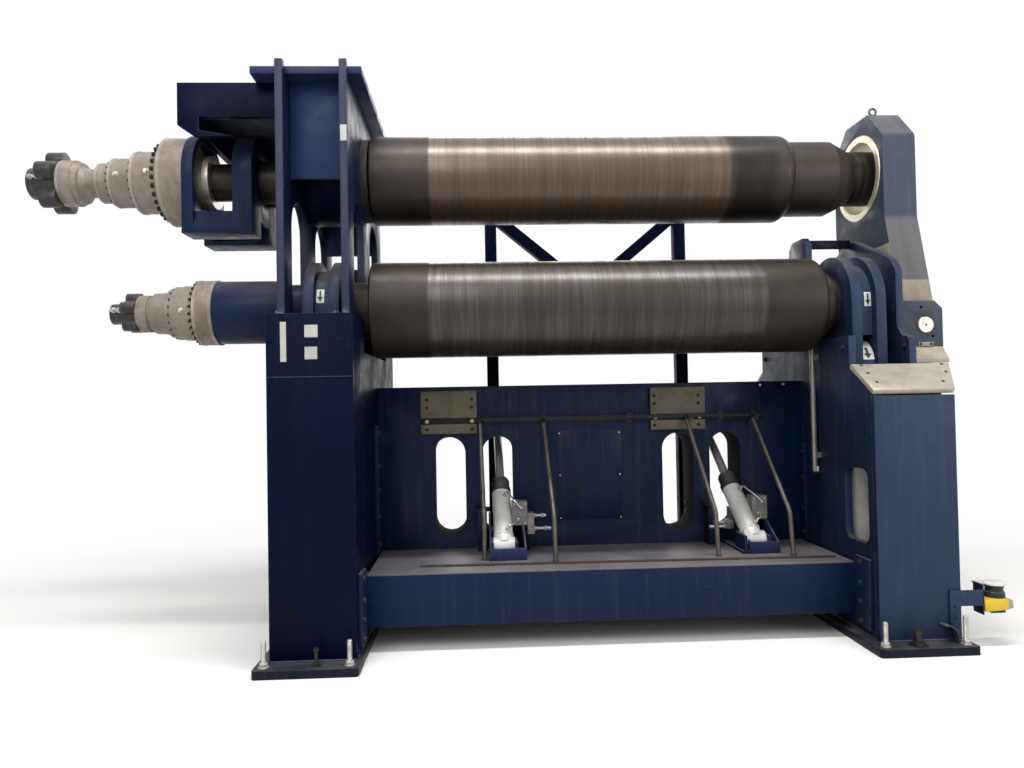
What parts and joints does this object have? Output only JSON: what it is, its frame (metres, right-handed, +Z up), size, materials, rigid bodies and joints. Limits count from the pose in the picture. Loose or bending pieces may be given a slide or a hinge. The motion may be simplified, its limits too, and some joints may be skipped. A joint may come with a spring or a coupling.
{
  "type": "plate rolling machine",
  "caption": "Heavy floor-standing plate bending rolls: a long top roll over two side rolls between slotted end frames, planetary drives at one end and a tilting drop end at the other.",
  "frame": {"origin": "on the floor, midway between the two columns and straight under the axis of the top roll", "axes": "+X along the rolls from the drive end to the drop end, +Y from the front to the rear, +Z up"},
  "size_m": [6.625, 2.42, 3.86],
  "materials": {
    "blue_paint": "gloss paint, dusty and scuffed",
    "roll_steel": "ground steel, brown with mill scale, polished where plate runs",
    "bare_steel": "machined steel, scratched",
    "ground_steel": "hard-chromed rod",
    "grey_paint": "light grey paint on rough casting",
    "black_paint": "satin black paint",
    "white_paint": "white paint, dusty",
    "deck_paint": "worn dark paint under dust and scale",
    "yellow_plastic": "satin moulded plastic"
  },
  "bodies": {
    "frame": {"cylinder_cradles": "blue_paint", "front_beam": "blue_paint", "front_deck": "deck_paint", "front_lift_barrels": "white_paint", "guard_rods": "bare_steel", "left_base_plate": "blue_paint", "left_covers": "blue_paint", "left_cross_panels": "blue_paint", "left_inner_plate": "blue_paint", "left_outer_plate": "blue_paint", "left_side_plate": "blue_paint", "left_top_cap": "blue_paint", "middle_panel": "blue_paint", "panel_pads": "bare_steel", "pivot_ears": "blue_paint", "pivot_pin": "bare_steel", "position_rod": "ground_steel", "rear_arm_left": "blue_paint", "rear_arm_right": "blue_paint", "rear_beam": "blue_paint", "rear_deck": "deck_paint", "rear_gearbox": "grey_paint", "rear_lantern": "blue_paint", "rear_lift_barrels": "white_paint", "rear_lift_rods": "blue_paint", "rear_motor": "black_paint", "rear_roll": "roll_steel", "rear_support_frame": "blue_paint", "right_base_plate": "blue_paint", "right_covers": "blue_paint", "right_inner_plate": "blue_paint", "right_outer_plate": "blue_paint", "right_pads": "bare_steel", "right_tie_bar": "blue_paint", "safety_scanner": "yellow_plastic", "scanner_bracket": "blue_paint", "support_cylinders": "white_paint", "support_manifolds": "blue_paint", "support_rods": "ground_steel", "tail_bracket": "blue_paint", "top_bearing_housing": "blue_paint", "top_gearbox": "grey_paint", "top_lantern": "blue_paint", "top_motor": "black_paint", "top_seal_ring": "black_paint"},
    "carriage": {"front_arm_left": "blue_paint", "front_arm_right": "blue_paint", "front_lantern": "blue_paint", "front_gearbox": "grey_paint", "front_motor": "black_paint", "front_lift_rods": "blue_paint"},
    "front_roll": {"front_roll": "roll_steel"},
    "top_roll": {"top_roll": "roll_steel", "shrink_disc": "bare_steel"},
    "drop_end": {"drop_end_yoke": "blue_paint", "yoke_bearing_ring": "bare_steel"}
  },
  "joints": [
    {"name": "front_lift", "type": "slide", "parent": "frame", "child": "carriage", "axis": [0, 0, 1], "range_m": [0, 0.34]},
    {"name": "front_roll_spin", "type": "hinge", "parent": "carriage", "child": "front_roll", "pos_m": [0, -0.37, 2.255], "axis": [1, 0, 0], "continuous": true},
    {"name": "top_roll_spin", "type": "hinge", "parent": "frame", "child": "top_roll", "pos_m": [0, 0, 3.278], "axis": [1, 0, 0], "continuous": true},
    {"name": "drop_end_tilt", "type": "hinge", "parent": "frame", "child": "drop_end", "pos_m": [2.366, 0, 2.097], "axis": [0, 1, 0], "range_deg": [0, 75]}
  ]
}
